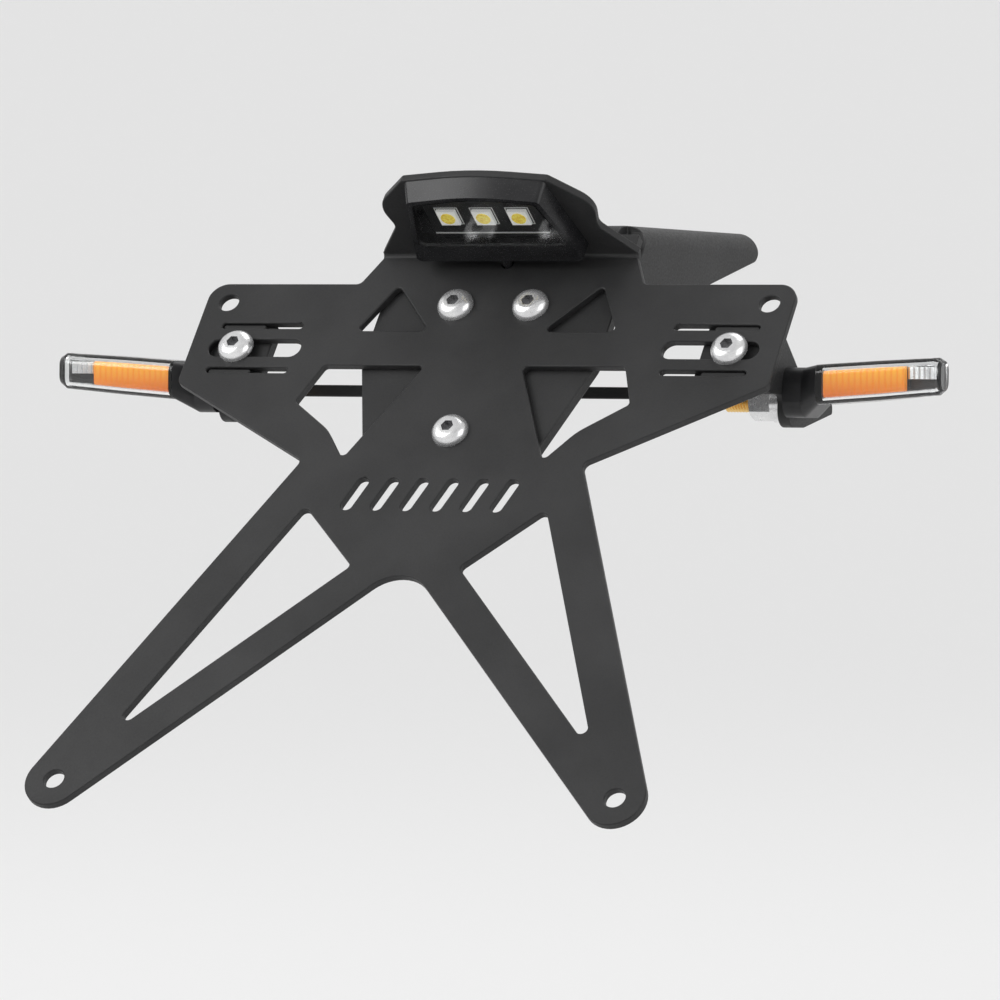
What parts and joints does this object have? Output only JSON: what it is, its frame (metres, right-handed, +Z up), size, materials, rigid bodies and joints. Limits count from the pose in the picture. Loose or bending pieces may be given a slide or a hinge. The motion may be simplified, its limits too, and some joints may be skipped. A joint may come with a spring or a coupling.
{
  "type": "license plate bracket",
  "caption": "Leaning sheet-metal license plate holder for a motorbike tail, with folded mounting bracket, indicator carrier, amber indicators and a hooded plate light.",
  "frame": {"origin": "middle of the tail bolt pattern, on the upper face of the mounting flange", "axes": "+X to the right seen from behind, +Y forward along the motorbike, +Z up out of the flange"},
  "size_m": [0.2442, 0.1922, 0.1587],
  "materials": {
    "black_powder_coat": "satin black powder coat with a fine grain",
    "zinc_steel": "bright zinc plate",
    "light_plastic": "glossy black",
    "light_clear": "clear window",
    "circuit_board": "black solder mask with white print",
    "led": "pale yellow phosphor",
    "indicator_plastic": "satin black",
    "indicator_clear": "clear cover",
    "amber": "amber, fluted",
    "brass": "turned brass"
  },
  "bodies": {
    "root": {"plate_holder": "black_powder_coat", "mounting_bracket": "black_powder_coat", "indicator_carrier": "black_powder_coat", "centre_screws": "zinc_steel", "centre_washers": "zinc_steel", "centre_nuts": "zinc_steel", "wing_screws": "zinc_steel", "wing_washers": "zinc_steel", "wing_nuts": "zinc_steel", "light_screws": "zinc_steel", "left_indicator_washer": "zinc_steel", "right_indicator_washer": "zinc_steel", "left_indicator_nut": "zinc_steel", "right_indicator_nut": "zinc_steel", "light_housing": "light_plastic", "light_lens": "light_clear", "light_board": "circuit_board", "left_indicator_board": "circuit_board", "right_indicator_board": "circuit_board", "light_leds": "led", "left_indicator_leds": "led", "right_indicator_leds": "led", "left_indicator_housing": "indicator_plastic", "right_indicator_housing": "indicator_plastic", "left_indicator_clear_cover": "indicator_clear", "right_indicator_clear_cover": "indicator_clear", "left_indicator_amber_lens": "amber", "right_indicator_amber_lens": "amber", "left_indicator_stud": "brass", "right_indicator_stud": "brass"}
  },
  "joints": []
}
